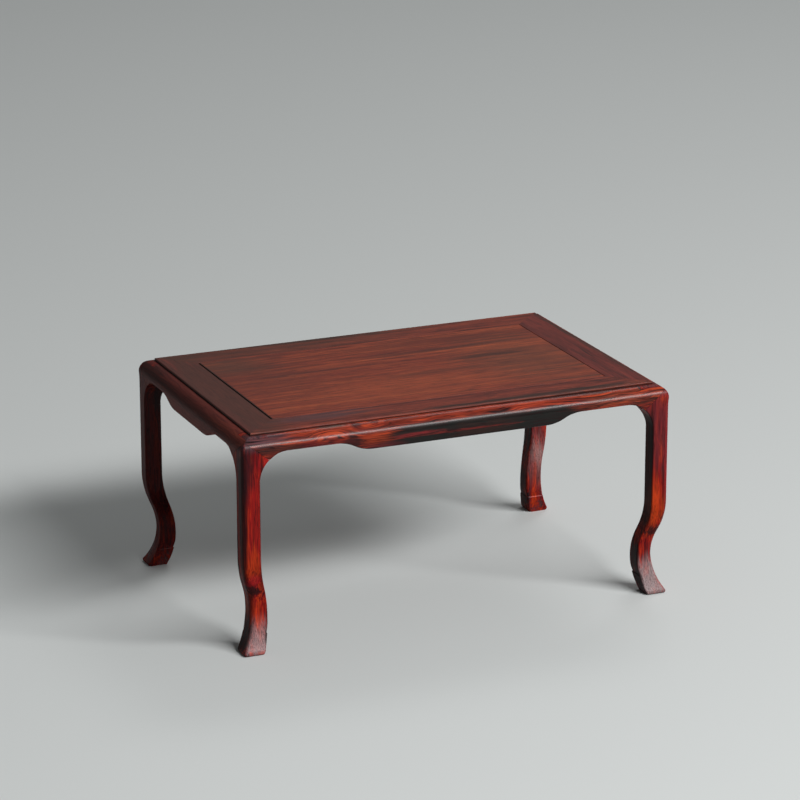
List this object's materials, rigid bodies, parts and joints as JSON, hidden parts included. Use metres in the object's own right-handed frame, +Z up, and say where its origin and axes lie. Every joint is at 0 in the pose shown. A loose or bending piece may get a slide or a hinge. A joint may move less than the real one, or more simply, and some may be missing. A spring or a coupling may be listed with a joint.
{
  "type": "bonsai stand",
  "caption": "Low rectangular wooden stand with a framed panel top, rounded shoulder, shaped aprons and S-curved legs, for a bonsai pot or an ornament.",
  "frame": {"origin": "on the floor under the centre of the stand", "axes": "+X along the long side, to the right seen from the front; +Y to the back; +Z up"},
  "size_m": [0.15, 0.099, 0.073],
  "materials": {
    "panel_wood": "satin wax",
    "frame_wood": "satin wax",
    "apron_wood": "satin wax",
    "leg_wood": "satin wax",
    "inner_wood": "unpolished"
  },
  "bodies": {
    "root": {"top_panel": "panel_wood", "panel_batten": "inner_wood", "front_rail": "frame_wood", "back_rail": "frame_wood", "left_rail": "frame_wood", "right_rail": "frame_wood", "front_apron": "apron_wood", "back_apron": "apron_wood", "left_apron": "apron_wood", "right_apron": "apron_wood", "front_left_leg": "leg_wood", "front_right_leg": "leg_wood", "back_left_leg": "leg_wood", "back_right_leg": "leg_wood"}
  },
  "joints": []
}
